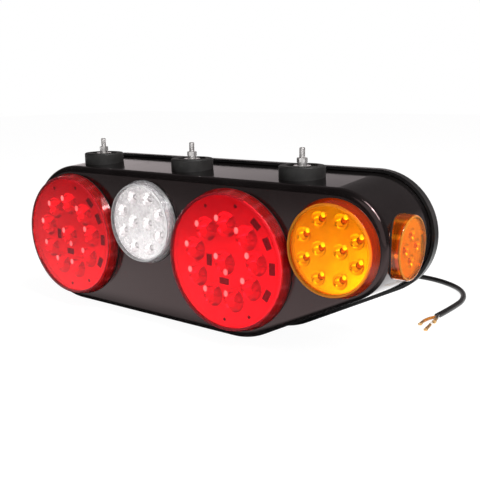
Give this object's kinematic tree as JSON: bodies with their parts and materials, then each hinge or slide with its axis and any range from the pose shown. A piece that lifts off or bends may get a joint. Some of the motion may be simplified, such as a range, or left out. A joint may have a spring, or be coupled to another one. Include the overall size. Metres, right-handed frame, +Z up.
{
  "type": "trailer lighting board",
  "caption": "Black moulded rear lamp pod with round red stop lamps, a clear reverse lamp and an amber indicator in a row, a side marker, rubber-mounted studs on top and a loose lead.",
  "frame": {"origin": "middle of the pod's footprint, on the surface that it stands on", "axes": "+X along the pod towards the side marker, -Y the way the lamps face, +Z up along the mounting studs"},
  "size_m": [0.441, 0.3225, 0.1776],
  "materials": {
    "housing": "glossy moulded black",
    "cover": "satin moulded black",
    "red_lens": "clear red, polished",
    "clear_lens": "clear, polished",
    "amber_lens": "clear amber, polished",
    "optic": "metallised plastic",
    "led": "LED chips",
    "led_board": "white circuit board",
    "lamp_body": "moulded black",
    "rubber": "matt black",
    "steel": "zinc plated",
    "cable_sheath": "black PVC",
    "copper": "bare stranded copper"
  },
  "bodies": {
    "root": {"cable": "cable_sheath", "cable_grommet": "rubber", "conductor_ends": "copper", "flat_washers": "steel", "housing": "housing", "indicator_lamp_body": "lamp_body", "indicator_lamp_gasket": "rubber", "indicator_lamp_led_board": "led_board", "indicator_lamp_leds": "led", "indicator_lamp_lens": "amber_lens", "indicator_lamp_optic_tray": "optic", "indicator_lamp_retainer": "lamp_body", "inner_washers": "steel", "isolator_centre": "rubber", "isolator_left": "rubber", "isolator_right": "rubber", "lamp_leads": "cable_sheath", "mounting_bolts": "steel", "mounting_nuts": "steel", "rear_cover": "cover", "rear_cover_screws": "steel", "rear_cover_seal": "rubber", "reverse_lamp_body": "lamp_body", "reverse_lamp_gasket": "rubber", "reverse_lamp_led_board": "led_board", "reverse_lamp_leds": "led", "reverse_lamp_lens": "clear_lens", "reverse_lamp_optic_tray": "optic", "reverse_lamp_retainer": "lamp_body", "side_marker_body": "lamp_body", "side_marker_gasket": "rubber", "side_marker_led_board": "led_board", "side_marker_leds": "led", "side_marker_lens": "amber_lens", "side_marker_optic_tray": "optic", "spring_washers": "steel", "stop_lamp_inner_body": "lamp_body", "stop_lamp_inner_gasket": "rubber", "stop_lamp_inner_led_board": "led_board", "stop_lamp_inner_leds": "led", "stop_lamp_inner_lens": "red_lens", "stop_lamp_inner_optic_tray": "optic", "stop_lamp_inner_retainer": "lamp_body", "stop_lamp_outer_body": "lamp_body", "stop_lamp_outer_gasket": "rubber", "stop_lamp_outer_led_board": "led_board", "stop_lamp_outer_leds": "led", "stop_lamp_outer_lens": "red_lens", "stop_lamp_outer_optic_tray": "optic", "stop_lamp_outer_retainer": "lamp_body", "wiring_block": "cover"}
  },
  "joints": []
}
